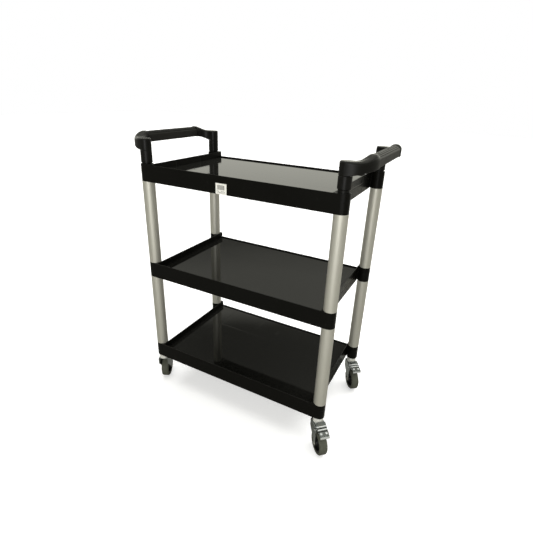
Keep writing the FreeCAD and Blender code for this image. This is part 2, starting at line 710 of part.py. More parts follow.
def make_axle_bolt(corner):
    """The axle bolt and its nut, two separate solids in one node."""
    half = dim("fork_half_width")
    across_flats = 11.0
    head_height = 2.6
    nut_height = 4.0
    axle = Vector(dim("trail"), 0, dim("tyre_radius"))
    shank_length = 2 * half + nut_height + 0.8
    shank = Part.makeCylinder(dim("axle_radius"), shank_length, axle + Vector(0, -half, 0), Vector(0, 1, 0))
    head = Part.makeCone(6.5, 4.2, head_height, axle + Vector(0, -half, 0), Vector(0, -1, 0))
    bolt = shank.fuse(head).removeSplitter()
    nut = hex_prism(across_flats, nut_height, axle + Vector(0, half, 0), 1)
    bore = Part.makeCylinder(dim("axle_radius") + 0.02, 8.0, axle + Vector(0, half - 0.5, 0), Vector(0, 1, 0))
    pair = doc.addObject("Part::Feature", "AxleBolt" + corner.title().replace("_", ""))
    pair.Shape = Part.makeCompound([bolt, nut.cut(bore)])
    place_caster(pair, corner)
    return keep(pair, f"axle_bolt_{corner}")


def place_wheel(body, corner):
    """Put a wheel part, drawn about its own Y axis, on its fork's axle."""
    side, depth = CORNERS[corner]
    yaw = CASTER_YAW[corner]
    x, y = corner_expressions(corner)
    place(body, f"{x} + Dims.trail * cos({yaw})", f"{y} + Dims.trail * sin({yaw})", "Dims.tyre_radius", yaw)


def make_tyre(corner):
    """The grey non-marking tyre: a ring with rounded shoulders."""
    half = "Dims.tyre_half_width"
    seat = "(Dims.rim_radius + Dims.fit_gap)"
    outline = [
        (f"-({half} - 2)", seat), (f"{half} - 2", seat), (half, "Dims.tyre_radius - 6"),
        (f"{half} - 1.2", "Dims.tyre_radius - 2.6"), (f"{half} - 4.5", "Dims.tyre_radius"),
        (f"-({half} - 4.5)", "Dims.tyre_radius"), (f"-({half} - 1.2)", "Dims.tyre_radius - 2.6"),
        (f"-{half}", "Dims.tyre_radius - 6"),
    ]
    label = f"tyre_{corner}"
    body = revolve(label.title().replace("_", ""), outline, "YZ_Plane", "H_Axis")
    place_wheel(body, corner)
    return keep(body, label)


def make_hub(corner):
    """The black moulded hub: a rim, a thin disc with a stiffening ring, and a bored boss."""
    bore = "(Dims.axle_radius + 0.08)"
    boss = "9"
    rim_inner = "(Dims.rim_radius - 4)"
    rim_half = "(Dims.tyre_half_width - 2.5)"
    disc = "3"
    boss_half = "(Dims.fork_half_width - Dims.fork_sheet - 0.8)"
    outline = [
        (f"-{boss_half}", bore), (boss_half, bore), (boss_half, boss), (disc, boss + " + 2"), (disc, rim_inner),
        (rim_half, rim_inner), (rim_half, "Dims.rim_radius"), (f"-{rim_half}", "Dims.rim_radius"),
        (f"-{rim_half}", rim_inner), ("-" + disc, rim_inner), ("-" + disc, boss + " + 2"), (f"-{boss_half}", boss),
    ]
    label = f"wheel_hub_{corner}"
    body = revolve(label.title().replace("_", ""), outline, "YZ_Plane", "H_Axis")
    place_wheel(body, corner)
    return keep(body, label)


PEDAL_START = 20.2
PEDAL_TOE = 67.0
PEDAL_SHEET = 2.0


def pedal_line(x):
    """Height of the pedal's upper face above the ground, a plate that falls away from the fork."""
    start_height = 114.4
    fall = 0.37
    return start_height - fall * (x - PEDAL_START)


def pedal_outline():
    """The pedal's side outline: a plate pressed into transverse ridges, with a turned-down toe."""
    ridge_height = 1.3
    groove_depth = 0.8
    toe_drop = 6.0
    ridge_xs = (33.5, 42.6)
    ridge_half = 1.5
    groove_start = 3.4
    groove_end = 5.2
    upper = [Vector(PEDAL_START, 0, pedal_line(PEDAL_START))]
    upper.append(Vector(ridge_xs[0] - 2.0 * ridge_half, 0, pedal_line(ridge_xs[0] - 2.0 * ridge_half)))
    for centre in ridge_xs:
        for x, lift in (
            (centre - ridge_half, ridge_height), (centre + ridge_half, ridge_height),
            (centre + groove_start, -groove_depth), (centre + groove_end, -groove_depth),
        ):
            upper.append(Vector(x, 0, pedal_line(x) + lift))
    groove_out = ridge_xs[1] + groove_end + 1.2
    upper.append(Vector(groove_out, 0, pedal_line(groove_out)))
    upper.append(Vector(PEDAL_TOE - 2.0, 0, pedal_line(PEDAL_TOE - 2.0)))
    upper.append(Vector(PEDAL_TOE, 0, pedal_line(PEDAL_TOE) - 2.0))
    upper.append(Vector(PEDAL_TOE, 0, pedal_line(PEDAL_TOE) - toe_drop))
    heel = PEDAL_TOE - PEDAL_SHEET
    lower = [
        Vector(heel, 0, pedal_line(PEDAL_TOE) - toe_drop),
        Vector(heel, 0, pedal_line(heel) - PEDAL_SHEET),
        Vector(PEDAL_START, 0, pedal_line(PEDAL_START) - PEDAL_SHEET),
    ]
    points = upper + lower
    return Part.makePolygon(points + points[:1])


def pedal_flange():
    """One side flange, which hangs from the plate round the pivot pin."""
    pivot = Vector(dim("pedal_pivot_trail"), 0, dim("pedal_pivot_height"))
    ear = 5.0
    far = 57.0
    sink = 1.0
    top_start = Vector(pivot.x - ear + 0.5, 0, pedal_line(pivot.x - ear + 0.5) - sink)
    top_end = Vector(far, 0, pedal_line(far) - sink)
    low_end = Vector(far - 1.0, 0, pedal_line(far) - 5.0)
    low_start = pivot + Vector(ear * 0.6, 0, -ear * 0.8)
    front = pivot + Vector(-ear, 0, 0)
    under = pivot + Vector(-ear * 0.3, 0, -ear * 0.954)
    front_up = Vector(pivot.x - ear, 0, pivot.z + 4.0)
    return Part.Wire([
        line(front_up, top_start), line(top_start, top_end), line(top_end, low_end), line(low_end, low_start),
        arc(low_start, under, front), line(front, front_up),
    ])


def make_pedal(corner):
    """The pressed brake pedal: ridged plate, two rivets, and two flanges bored for the pivot pin."""
    half = dim("pedal_half_width")
    flange_half = 12.5
    rivet_x = 54.0
    rivet_y = 9.0
    toe_half = 15.6
    shape = Part.Face(pedal_outline()).extrude(Vector(0, 2 * half, 0))
    shape.translate(Vector(0, -half, 0))
    plan = Part.makePolygon([
        Vector(PEDAL_START, -half, 0), Vector(PEDAL_TOE, -toe_half, 0), Vector(PEDAL_TOE, toe_half, 0),
        Vector(PEDAL_START, half, 0), Vector(PEDAL_START, -half, 0),
    ])
    shape = shape.common(Part.Face(plan).extrude(Vector(0, 0, 200.0)))
    for start in (-flange_half, flange_half - PEDAL_SHEET):
        flange = Part.Face(pedal_flange()).extrude(Vector(0, PEDAL_SHEET, 0))
        flange.translate(Vector(0, start, 0))
        shape = shape.fuse(flange)
    for across in (-rivet_y, rivet_y):
        foot = Vector(rivet_x, across, pedal_line(rivet_x) - 1.5)
        shape = shape.fuse(Part.makeCone(2.6, 1.6, 2.9, foot))
    pivot = Vector(dim("pedal_pivot_trail"), -half - 1, dim("pedal_pivot_height"))
    bore = Part.makeCylinder(dim("pedal_pin_radius") + 0.08, 2 * half + 2, pivot, Vector(0, 1, 0))
    pedal = doc.addObject("Part::Feature", "Pedal" + corner.title().replace("_", ""))
    pedal.Shape = shape.cut(bore).removeSplitter()
    place_pedal(pedal, corner)
    return keep(pedal, f"brake_pedal_{corner}")


def make_brake_pad(corner):
    """The rubber pad under the pedal, curved to the tyre and clear of it at rest."""
    half = 9.0
    clearance = 4.0
    start_x = 31.0
    end_x = 41.0
    head_room = 0.02
    gap_radius = dim("tyre_radius") + clearance
    axle = Vector(dim("trail"), 0, dim("tyre_radius"))

    def on_gap(x):
        return Vector(x, -half, axle.z + math.sqrt(gap_radius ** 2 - (x - axle.x) ** 2))

    top_gap = PEDAL_SHEET + head_room
    top_start = Vector(start_x, -half, pedal_line(start_x) - top_gap)
    top_end = Vector(end_x, -half, pedal_line(end_x) - top_gap)
    middle = on_gap(0.5 * (start_x + end_x))
    wire = Part.Wire([
        line(top_start, top_end), line(top_end, on_gap(end_x)),
        arc(on_gap(end_x), middle, on_gap(start_x)), line(on_gap(start_x), top_start),
    ])
    brake_pad = doc.addObject("Part::Feature", "BrakePad" + corner.title().replace("_", ""))
    brake_pad.Shape = Part.Face(wire).extrude(Vector(0, 2 * half, 0))
    place_pedal(brake_pad, corner)
    return keep(brake_pad, f"brake_pad_{corner}")


def make_pedal_pin(corner):
    """The pedal's pivot pin, riveted outside both fork legs."""
    half = dim("fork_half_width")
    head_radius = 4.2
    head_thickness = 1.6
    across = Vector(0, 1, 0)
    start = Vector(dim("pedal_pivot_trail"), -half, dim("pedal_pivot_height"))
    pin = Part.makeCylinder(dim("pedal_pin_radius"), 2 * half, start, across)
    pin = pin.fuse(Part.makeCylinder(head_radius, head_thickness, start - across * head_thickness, across))
    pin = pin.fuse(Part.makeCylinder(head_radius, head_thickness, start + across * (2 * half), across))
    pivot_pin = doc.addObject("Part::Feature", "PedalPin" + corner.title().replace("_", ""))
    pivot_pin.Shape = pin.removeSplitter()
    place_caster(pivot_pin, corner)
    return keep(pivot_pin, f"pedal_pin_{corner}")


# Assembly ------------------------------------------------------------------------------------

for lift, tray_label in enumerate(("bottom_tray", "middle_tray", "top_tray")):
    make_tray(tray_label, lift)

for corner in CORNERS:
    make_leg_tube(f"lower_tube_{corner}", corner, 0)
    make_leg_tube(f"upper_tube_{corner}", corner, 1)
    make_top_plug(corner)
    make_middle_spigot(corner)
    make_bottom_plug(corner)
    make_post_sleeve(corner)
    make_caster_head(corner)
    make_fork(corner)
    make_axle_bolt(corner)
    make_tyre(corner)
    make_hub(corner)

for corner in BRAKED:
    make_pedal(corner)
    make_brake_pad(corner)
    make_pedal_pin(corner)

make_handles()
make_grip("right")
make_grip("left")
make_handle_bolts()
make_swivel_balls()
make_price_label()

doc.recompute()

for item in doc.Objects:
    state = [word for word in item.State if word in ("Invalid", "Error")]
    if state:
        raise RuntimeError(f"{item.Name} did not compute: {item.State}")
for item in parts:
    shape = item.Shape
    if shape.isNull() or not shape.isValid() or not shape.Solids:
        raise RuntimeError(f"{item.Label} has no valid solid")

os.makedirs("parts", exist_ok=True)
for item in parts:
    item.Shape.exportStep(f"parts/{item.Label}.step")

whole = Part.makeCompound([item.Shape for item in parts]).BoundBox
print(f"{len(parts)} parts, box {whole.XMin:.1f}..{whole.XMax:.1f} {whole.YMin:.1f}..{whole.YMax:.1f}"
      f" {whole.ZMin:.1f}..{whole.ZMax:.1f}")
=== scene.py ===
import json
import math

import bpy
from mathutils import Matrix, Vector


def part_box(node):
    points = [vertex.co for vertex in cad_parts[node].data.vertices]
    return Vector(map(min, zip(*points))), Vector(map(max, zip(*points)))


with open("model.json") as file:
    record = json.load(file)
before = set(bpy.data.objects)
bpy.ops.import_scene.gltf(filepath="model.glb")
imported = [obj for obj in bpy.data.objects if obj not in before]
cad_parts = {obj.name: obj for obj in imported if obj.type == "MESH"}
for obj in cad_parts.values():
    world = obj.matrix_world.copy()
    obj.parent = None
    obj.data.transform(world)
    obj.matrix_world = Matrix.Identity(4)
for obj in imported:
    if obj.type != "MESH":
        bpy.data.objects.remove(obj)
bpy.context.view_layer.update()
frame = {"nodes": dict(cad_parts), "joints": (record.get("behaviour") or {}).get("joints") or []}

nodes = frame["nodes"]
joints = {joint["name"]: joint for joint in frame["joints"]}
CORNERS = ("front_left", "front_right", "rear_left", "rear_right")
BRAKED = ("front_right", "rear_right")
TRAYS = ("bottom_tray", "middle_tray", "top_tray")

# ---------------------------------------------------------------- camera

CAMERA_AT = Vector((0.6144, -1.1284, 1.0871))
AZIMUTH = math.radians(27.335)
ELEVATION = math.radians(23.837)
ROLL = math.radians(2.206)
LENS = 26.436
SENSOR_WIDTH = 36.0
SHIFT_X, SHIFT_Y = -0.0042, -0.0040
NEAREST_SEEN = 0.05


def make_camera():
    forward = Vector((-math.sin(AZIMUTH) * math.cos(ELEVATION),
                      math.cos(AZIMUTH) * math.cos(ELEVATION),
                      -math.sin(ELEVATION)))
    level = Vector((math.cos(AZIMUTH), math.sin(AZIMUTH), 0.0))
    rise = level.cross(forward)
    right = math.cos(ROLL) * level + math.sin(ROLL) * rise
    up = math.cos(ROLL) * rise - math.sin(ROLL) * level
    turn = Matrix((right, up, -forward)).transposed()
    data = bpy.data.cameras.new("camera")
    data.sensor_fit = "HORIZONTAL"
    data.sensor_width = SENSOR_WIDTH
    data.lens = LENS
    data.shift_x = SHIFT_X
    data.shift_y = SHIFT_Y
    data.clip_start = NEAREST_SEEN
    camera = bpy.data.objects.new("camera", data)
    camera.matrix_world = Matrix.Translation(CAMERA_AT) @ turn.to_4x4()
    bpy.context.scene.collection.objects.link(camera)
    bpy.context.scene.camera = camera


# ---------------------------------------------------------------- node helpers

SHADER_INPUTS = {"colour": "Base Color", "rough": "Roughness", "metal": "Metallic", "normal": "Normal",
                 "specular": "Specular IOR Level", "coat": "Coat Weight", "coat_rough": "Coat Roughness"}


class Look:
    """A material whose nodes are added one call at a time."""

    def __init__(self, name):
        self.material = bpy.data.materials.new(name)
        self.material.use_nodes = True
        self.tree = self.material.node_tree
        self.shader = self.tree.nodes["Principled BSDF"]
        coords = self.add("TexCoord")
        self.place = coords.outputs["Object"]
        self.facing = coords.outputs["Normal"]

    def add(self, kind, values=None, **settings):
        node = self.tree.nodes.new("ShaderNode" + kind)
        for key, value in settings.items():
            setattr(node, key, value)
        for key, value in (values or {}).items():
            self.put(node.inputs[key], value)
        return node

    def put(self, socket, value):
        if isinstance(value, bpy.types.NodeSocket):
            self.tree.links.new(value, socket)
        elif isinstance(value, tuple) and len(value) == 3 and socket.type == "RGBA":
            socket.default_value = (*value, 1.0)
        else:
            socket.default_value = value

    def math(self, operation, a, b=0.0, c=0.0):
        return self.add("Math", {0: a, 1: b, 2: c}, operation=operation).outputs[0]

    def from_point(self, point):
        return self.add("VectorMath", {0: self.place, 1: tuple(point)}, operation="SUBTRACT").outputs[0]

    def dot(self, a, b):
        return self.add("VectorMath", {0: a, 1: tuple(b)}, operation="DOT_PRODUCT").outputs["Value"]

    def axes(self, vector):
        return self.add("SeparateXYZ", {0: vector}).outputs

    def join(self, x, y=0.0):
        return self.add("CombineXYZ", {0: x, 1: y}).outputs[0]

    def stretch(self, scale):
        return self.add("VectorMath", {0: self.place, 1: scale}, operation="MULTIPLY").outputs[0]

    def noise(self, scale, detail=2.0, rough=0.5, vector=None):
        node = self.add("TexNoise", {"Vector": vector or self.place, "Scale": scale,
                                     "Detail": detail, "Roughness": rough})
        return node.outputs["Fac"]

    def ease(self, value, low, high, start=0.0, end=1.0):
        """Runs smoothly from start to end while value runs from low to high."""
        node = self.add("MapRange", {0: value, 1: low, 2: high, 3: start, 4: end},
                        interpolation_type="SMOOTHSTEP")
        return node.outputs[0]

    def portion(self, value, low, high):
        """Runs evenly from 0 to 1 while value runs from low to high."""
        return self.add("MapRange", {0: value, 1: low, 2: high}).outputs[0]

    def spot(self, u, v, inner, outer):
        """1 inside a round spot about u = v = 0, and 0 outside it."""
        reach = self.add("VectorMath", {0: self.join(u, v)}, operation="LENGTH").outputs["Value"]
        return self.ease(reach, inner, outer, 1.0, 0.0)

    def on_top(self, side, top):
        """The value for a surface that faces sideways or down, easing to the one for a level top."""
        return self.ease(self.axes(self.facing)[2], 0.25, 0.9, side, top)

    def blend(self, share, a, b):
        node = self.add("Mix", {0: share, 6: a, 7: b}, data_type="RGBA")
        return node.outputs[2]

    def between(self, share, a, b):
        return self.add("Mix", {0: share, 2: a, 3: b}, data_type="FLOAT").outputs[0]

    def bump(self, height, distance, strength):
        node = self.add("Bump", {"Height": height, "Distance": distance, "Strength": strength})
        return node.outputs["Normal"]

    def finish(self, **inputs):
        for key, value in inputs.items():
            self.put(self.shader.inputs[SHADER_INPUTS[key]], value)
        return self.material


def dress(material, *names):
    """Gives CAD nodes a material."""
    for name in names:
        slots = nodes[name].data.materials
        slots.clear()
        slots.append(material)


# ---------------------------------------------------------------- colours

TRAY_BLACK = (0.0030, 0.0029, 0.0022), (0.0052, 0.0051, 0.0042)
DECK_BLACK = (0.0090, 0.0090, 0.0077), (0.0130, 0.0130, 0.0112)
SCRATCH_GREY = (0.02, 0.02, 0.018)
PLUG_BLACK = (0.004, 0.004, 0.0035), (0.007, 0.007, 0.006)
HANDLE_BLACK = (0.0035, 0.0034, 0.0028), (0.0062, 0.0061, 0.0052)
GRIP_BLACK = (0.009, 0.0088, 0.0072), (0.014, 0.0138, 0.0118)
# The shade painted into a grip's grooves and gate mark.
GRIP_PAINTED_SHADE = (0.004, 0.004, 0.0034)
HUB_BLACK = (0.006, 0.006, 0.0055), (0.011, 0.011, 0.010)
PAD_BLACK = (0.010, 0.010, 0.010), (0.018, 0.018, 0.017)
ALUMINIUM = (0.52, 0.510, 0.450), (0.64, 0.630, 0.565)
FORK_ZINC = (0.20, 0.220, 0.215), (0.72, 0.77, 0.765)
PEDAL_ZINC = (0.24, 0.262, 0.262), (0.70, 0.745, 0.745)
# Near-white, half-diffuse zinc for the caster heads: a painted highlight.
CAP_PAINTED_HIGHLIGHT_ZINC = (0.82, 0.82, 0.76), (0.99, 0.99, 0.95)
BOLT_STEEL = (0.40, 0.40, 0.38), (0.62, 0.62, 0.58)
YELLOW_ZINC = (0.60, 0.56, 0.42)
# The shade painted into a pedal's grooves, and the highlight painted on its ridges, rivets and toe.
PEDAL_PAINTED_SHADE = (0.06, 0.063, 0.06)
PAINTED_HIGHLIGHT_ZINC = (0.95, 0.97, 0.95)
TREAD_GREY = (0.062, 0.065, 0.048), (0.112, 0.116, 0.088)
TREAD_LINE = (0.040, 0.041, 0.031)
PAPER = (0.88, 0.87, 0.81), (0.95, 0.94, 0.89)
INK = (0.10, 0.10, 0.09)
FLOOR_WHITE = (0.88, 0.88, 0.875), (0.90, 0.90, 0.895)
FLOOR_GREY = (0.32, 0.315, 0.290)
WHITE = (1.0, 1.0, 1.0)

# ---------------------------------------------------------------- trays

DECK_EDGE_X = 0.3055
DECK_EDGE_Y = 0.1995
END_WALL_X = 0.3065
RIB_PITCH_X = 0.148
RIB_PITCH_Y = 0.134
RIB_MARK_REACH = 0.0035
TIER_PITCH = 0.340
DECK_LINE = 0.1585
DECK_MARK_REACH = 0.003
DECK_SHINE = 0.5
END_POLISH = 0.30
LIP_SHINE = 0.02


def near_rib(look, along, pitch):
    """1 over a rib plane and 0 away from it. The ribs stand half a pitch each side of the middle."""
    turns = look.math("MULTIPLY_ADD", along, 1.0 / pitch, 0.5)
    offset = look.math("PINGPONG", turns, 0.5)
    return look.ease(offset, 0.0, RIB_MARK_REACH / pitch, 1.0, 0.0)


def near_deck(look, z):
    """1 at the height where a wall meets its deck, and 0 above and below it."""
    tiers = look.math("DIVIDE", look.math("SUBTRACT", z, DECK_LINE), TIER_PITCH)
    return look.ease(look.math("PINGPONG", tiers, 0.5), 0.0, DECK_MARK_REACH / TIER_PITCH, 1.0, 0.0)


def tray_look():
    """Black moulded plastic: glossy scuffed decks, satin walls, and sink marks over the ribs."""
    look = Look("moulded_tray_plastic")
    x, y, z = look.axes(look.place)
    facing_x, _, up = look.axes(look.facing)
    from_middle = look.math("ABSOLUTE", x)
    inside_x = look.math("LESS_THAN", from_middle, DECK_EDGE_X)
    inside_y = look.math("LESS_THAN", look.math("ABSOLUTE", y), DECK_EDGE_Y)
    level = look.ease(up, 0.75, 0.97)
    deck = look.math("MULTIPLY", level, look.math("MULTIPLY", inside_x, inside_y))
    outer_end = look.math("GREATER_THAN", from_middle, END_WALL_X)
    endways = look.math("MULTIPLY", outer_end, look.ease(look.math("ABSOLUTE", facing_x), 0.9, 0.98))
    polish = look.math("MAXIMUM", deck, look.math("MULTIPLY", endways, END_POLISH))
    rear_lip = look.math("MULTIPLY", look.math("GREATER_THAN", y, DECK_EDGE_Y), level)

    cloud = look.noise(7.0, 3.0, 0.6)
    scuffs = look.noise(1.0, 4.0, 0.7, look.stretch((90.0, 14.0, 40.0)))
    scratch = look.ease(scuffs, 0.62, 0.70)
    colour = look.blend(deck, look.blend(cloud, *TRAY_BLACK), look.blend(cloud, *DECK_BLACK))
    colour = look.blend(look.math("MULTIPLY", scratch, 0.25), colour, SCRATCH_GREY)

    deck_rough = look.math("MULTIPLY_ADD", look.noise(16.0, 5.0, 0.65), 0.08, 0.01)
    deck_rough = look.math("MULTIPLY_ADD", scratch, 0.06, deck_rough)
    wall_rough = look.math("MULTIPLY_ADD", look.noise(40.0, 4.0, 0.6), 0.14, 0.26)
    rough = look.between(polish, wall_rough, deck_rough)
    wall_shine = look.ease(up, 0.15, 0.6, 0.07, 0.34)
    specular = look.between(rear_lip, look.between(polish, wall_shine, DECK_SHINE), LIP_SHINE)

    ribs = look.math("MAXIMUM", near_rib(look, x, RIB_PITCH_X), near_rib(look, y, RIB_PITCH_Y))
    deck_marks = look.math("MULTIPLY", near_deck(look, z), look.math("SUBTRACT", 1.0, level))
    sinks = look.math("MAXIMUM", ribs, deck_marks)
    grain = look.noise(1500.0, 2.0, 0.6)
    pebble = look.noise(650.0, 3.0, 0.65)
    height = look.math("MULTIPLY", sinks, look.between(deck, -0.5, -0.04))
    height = look.math("MULTIPLY_ADD", look.noise(5.0, 1.0, 0.4), look.between(deck, 0.5, 0.35), height)
    height = look.math("MULTIPLY_ADD", pebble, look.between(polish, 0.035, 0.001), height)
    height = look.math("MULTIPLY_ADD", grain, look.between(polish, 0.020, 0.001), height)
    return look.finish(colour=colour, rough=rough, specular=specular, normal=look.bump(height, 0.002, 0.6))


# ---------------------------------------------------------------- tubes, handles and grips

FINE_RELIEF = 0.0001
COAT_ROUGH = 0.22
CROWN_RADIUS = 0.017
GROOVE_STEP = math.radians(17.0)
OUTERMOST_GROOVE = 3.3
GATE_MARK_Y = 0.018
GATE_MARK_INNER, GATE_MARK_OUTER = 0.0036, 0.0044


def tube_look():
    """Satin anodised aluminium, drawn along its length."""
    look = Look("anodised_aluminium")
    drawn = look.noise(1.0, 3.0, 0.6, look.stretch((700.0, 700.0, 3.0)))
    cloud = look.noise(9.0, 3.0, 0.5)
    tone = look.math("MULTIPLY_ADD", drawn, 0.5, look.math("MULTIPLY", cloud, 0.5))
    rough = look.math("MULTIPLY_ADD", drawn, 0.10, 0.46)
    relief = look.math("ADD", drawn, look.math("MULTIPLY", look.noise(2200.0), 0.6))
    return look.finish(colour=look.blend(tone, *ALUMINIUM), rough=rough, metal=0.75,
                       normal=look.bump(relief, 0.00008, 0.5))


def patchy_rough(look, rough):
    """Roughness that varies from patch to patch."""
    return look.math("MULTIPLY_ADD", look.noise(60.0, 4.0, 0.6), 0.09, rough)


def black_look(name, colours, rough, texture, specular=0.4, top_specular=None, top_coat=0.0):
    """Black moulded plastic with a fine pebbled surface, polished by hands where it faces up."""
    look = Look(name)
    coat = 0.0
    if top_specular is not None:
        specular = look.on_top(specular, top_specular)
        rough = look.on_top(rough, rough - 0.12)
        coat = look.on_top(0.0, top_coat)
    colour = look.blend(look.noise(22.0, 3.0, 0.6), *colours)
    pebble = look.noise(texture, 3.0, 0.65)
    return look.finish(colour=colour, rough=patchy_rough(look, rough), specular=specular,
                       normal=look.bump(pebble, FINE_RELIEF, 0.5), coat=coat, coat_rough=COAT_ROUGH)


def grip_painted_shade(look):
    """Where shade is painted on a grip: in the grooves along its crown and in the moulding's gate mark."""
    low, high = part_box("right_grip")
    x, y, z = look.axes(look.place)
    across = look.math("SUBTRACT", look.math("ABSOLUTE", x), (low.x + high.x) / 2)
    rise = look.math("SUBTRACT", z, high.z - CROWN_RADIUS)
    turn = look.math("DIVIDE", look.math("ARCTAN2", across, rise), GROOVE_STEP)
    groove = look.ease(look.math("PINGPONG", turn, 0.5), 0.12, 0.22, 1.0, 0.0)
    crown = look.math("LESS_THAN", look.math("ABSOLUTE", turn), OUTERMOST_GROOVE)
    along = look.math("SUBTRACT", look.math("MULTIPLY", y, look.math("SIGN", x)), GATE_MARK_Y)
    mark = look.spot(across, along, GATE_MARK_INNER, GATE_MARK_OUTER)
    mark = look.math("MULTIPLY", mark, look.math("GREATER_THAN", rise, 0.0))
    return look.math("MAXIMUM", look.math("MULTIPLY", groove, crown), mark)


def grip_look():
    """Ribbed grip plastic, with shade painted into its hollows, which are also dulled, and polished by
    hands on top.
    """
    look = Look("grip_plastic")
    tone_mask = grip_painted_shade(look)
    colour = look.blend(look.noise(22.0, 3.0, 0.6), *GRIP_BLACK)
    # Paints shade into the grip's grooves and gate mark.
    colour = look.blend(tone_mask, colour, GRIP_PAINTED_SHADE)
    dulled = look.math("MULTIPLY_ADD", tone_mask, -0.9, 1.0)
    specular = look.math("MULTIPLY", look.on_top(0.16, 1.0), dulled)
    rough = patchy_rough(look, look.on_top(0.38, 0.26))
    pebble = look.noise(1300.0, 3.0, 0.65)
    return look.finish(colour=colour, rough=rough, specular=specular,
                       normal=look.bump(pebble, FINE_RELIEF, 0.5))


# ---------------------------------------------------------------- casters

# A pedal's features, as distances out from its caster's swivel axis.
PEDAL_GROOVES = (0.0379, 0.0470)
PEDAL_RIDGES = (0.0335, 0.0426)
GROOVE_REACH = 0.0020
RIDGE_REACH = 0.0018
RIVET_OUT = 0.054
RIVET_SIDE = 0.009
RIVET_INNER, RIVET_OUTER = 0.0030, 0.0042
PEDAL_TOE, PEDAL_TIP = 0.0640, 0.0655
TREAD_LINE_PITCH = 0.0031


def pedal_painted_light(look, corner):
    """Where shade is painted into a brake pedal's grooves, and where highlights are painted on its ridges,
    rivets and toe.
    """
    swivel = Vector(joints["swivel_" + corner]["pos_m"])
    low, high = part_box("brake_pedal_" + corner)
    across = Vector(joints["brake_" + corner]["axis"]).normalized()
    outward = across.cross(Vector((0, 0, 1)))
    if outward.dot((low + high) / 2 - swivel) < 0:
        outward.negate()
    arm = look.from_point(swivel)
    out = look.dot(arm, outward)
    side = look.math("ABSOLUTE", look.dot(arm, across))

    def bands(centres, reach):
        near, far = [look.ease(look.math("ABSOLUTE", look.math("SUBTRACT", out, centre)),
                               0.6 * reach, reach, 1.0, 0.0) for centre in centres]
        return look.math("MAXIMUM", near, far)

    painted_shade = bands(PEDAL_GROOVES, GROOVE_REACH)
    rivets = look.spot(look.math("SUBTRACT", out, RIVET_OUT), look.math("SUBTRACT", side, RIVET_SIDE),
                       RIVET_INNER, RIVET_OUTER)
    toe = look.math("MULTIPLY", look.ease(out, PEDAL_TOE, PEDAL_TIP), 0.6)
    painted_highlight = look.math("MAXIMUM", bands(PEDAL_RIDGES, RIDGE_REACH), look.math("MAXIMUM", rivets, toe))
    return painted_shade, painted_highlight


def zinc_look(name, colours, rough, metal=1.0, corner=None):
    """Bright zinc plate. A pedal's has shade painted into its grooves and highlights painted on its ridges,
    rivets and toe.
    """
    look = Look(name)
    spangle = look.noise(190.0, 3.0, 0.6)
    cloud = look.noise(45.0, 2.0, 0.5)
    drawn = look.noise(1.0, 3.0, 0.6, look.stretch((260.0, 260.0, 1400.0)))
    colour = look.blend(spangle, *colours)
    colour = look.blend(look.ease(cloud, 0.55, 0.78, 0.0, 0.35), colour, YELLOW_ZINC)
    if corner:
        painted_shade, painted_highlight = pedal_painted_light(look, corner)
        # Paints shade into the pedal's grooves and highlights on its ridges, rivets and toe, which are also
        # made less metallic so that they stay bright.
        colour = look.blend(look.math("MULTIPLY", painted_shade, 0.9), colour, PEDAL_PAINTED_SHADE)
        colour = look.blend(look.math("MULTIPLY", painted_highlight, 0.9), colour, PAINTED_HIGHLIGHT_ZINC)
        metal = look.math("MULTIPLY_ADD", painted_highlight, -0.55, metal)
    roughness = look.math("MULTIPLY_ADD", spangle, 0.18, rough)
    normal = look.bump(look.math("ADD", spangle, drawn), 0.0002, 0.35)
    return look.finish(colour=colour, rough=roughness, metal=metal, normal=normal)


def tyre_look(corner):
    """Grey tread with fine moulding lines round it and a dull dusty bloom."""
    look = Look("grey_tread_" + corner)
    joint = joints["wheel_spin_" + corner]
    across = look.dot(look.from_point(joint["pos_m"]), joint["axis"])
    line = look.math("SINE", look.math("MULTIPLY", across, 2.0 * math.pi / TREAD_LINE_PITCH))
    tone_mask = look.noise(70.0, 4.0, 0.65)
    grit = look.noise(900.0, 3.0, 0.6)
    colour = look.blend(tone_mask, *TREAD_GREY)
    colour = look.blend(look.math("MULTIPLY_ADD", line, 0.16, 0.16), colour, TREAD_LINE)
    height = look.math("MULTIPLY_ADD", grit, 0.35, look.math("MULTIPLY", line, 0.3))
    rough = look.math("MULTIPLY_ADD", tone_mask, 0.2, 0.55)
    return look.finish(colour=colour, rough=rough, specular=0.35, normal=look.bump(height, 0.0005, 0.5))


# ---------------------------------------------------------------- label

BARS_LEFT, BARS_RIGHT = 0.16, 0.80
BARS_BOTTOM, BARS_TOP = 0.42, 0.84
DASH_ROWS = ((0.24, 0.31), (0.12, 0.18))
DASHES_LEFT, DASHES_RIGHT = 0.10, 0.86


